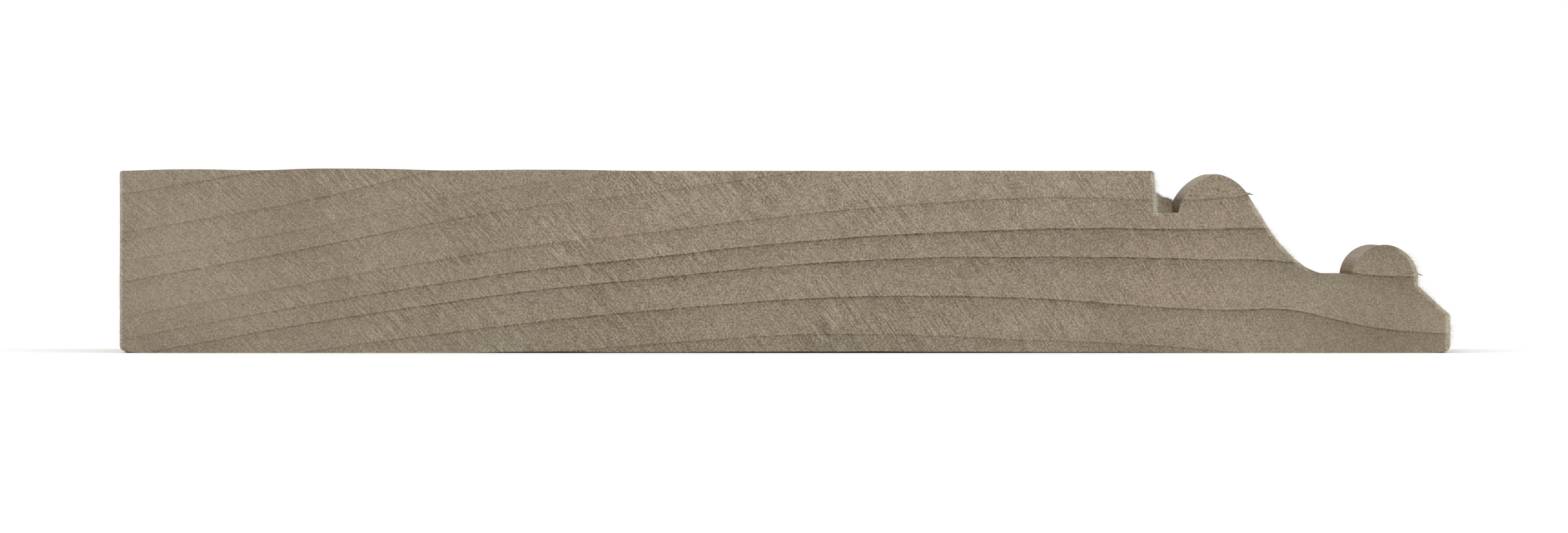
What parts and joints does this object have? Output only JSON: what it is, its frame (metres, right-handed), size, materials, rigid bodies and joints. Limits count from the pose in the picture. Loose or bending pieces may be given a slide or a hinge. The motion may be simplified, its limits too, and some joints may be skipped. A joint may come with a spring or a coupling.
{
  "type": "skirting board",
  "caption": "Straight moulded timber skirting board: plain face, quirked large bead, hollow, small bead and chamfered thin top edge, flat back, square sawn ends.",
  "frame": {"origin": "centre of the flat back, halfway along the board and halfway between its two long edges", "axes": "+X from the plain bottom edge to the moulded top edge, +Y along the board, +Z out of the flat back through the moulded face"},
  "size_m": [0.146, 1, 0.02],
  "materials": {
    "wood": "planed bare tulipwood, sawn end grain"
  },
  "bodies": {
    "root": {"skirting_board": "wood"}
  },
  "joints": []
}
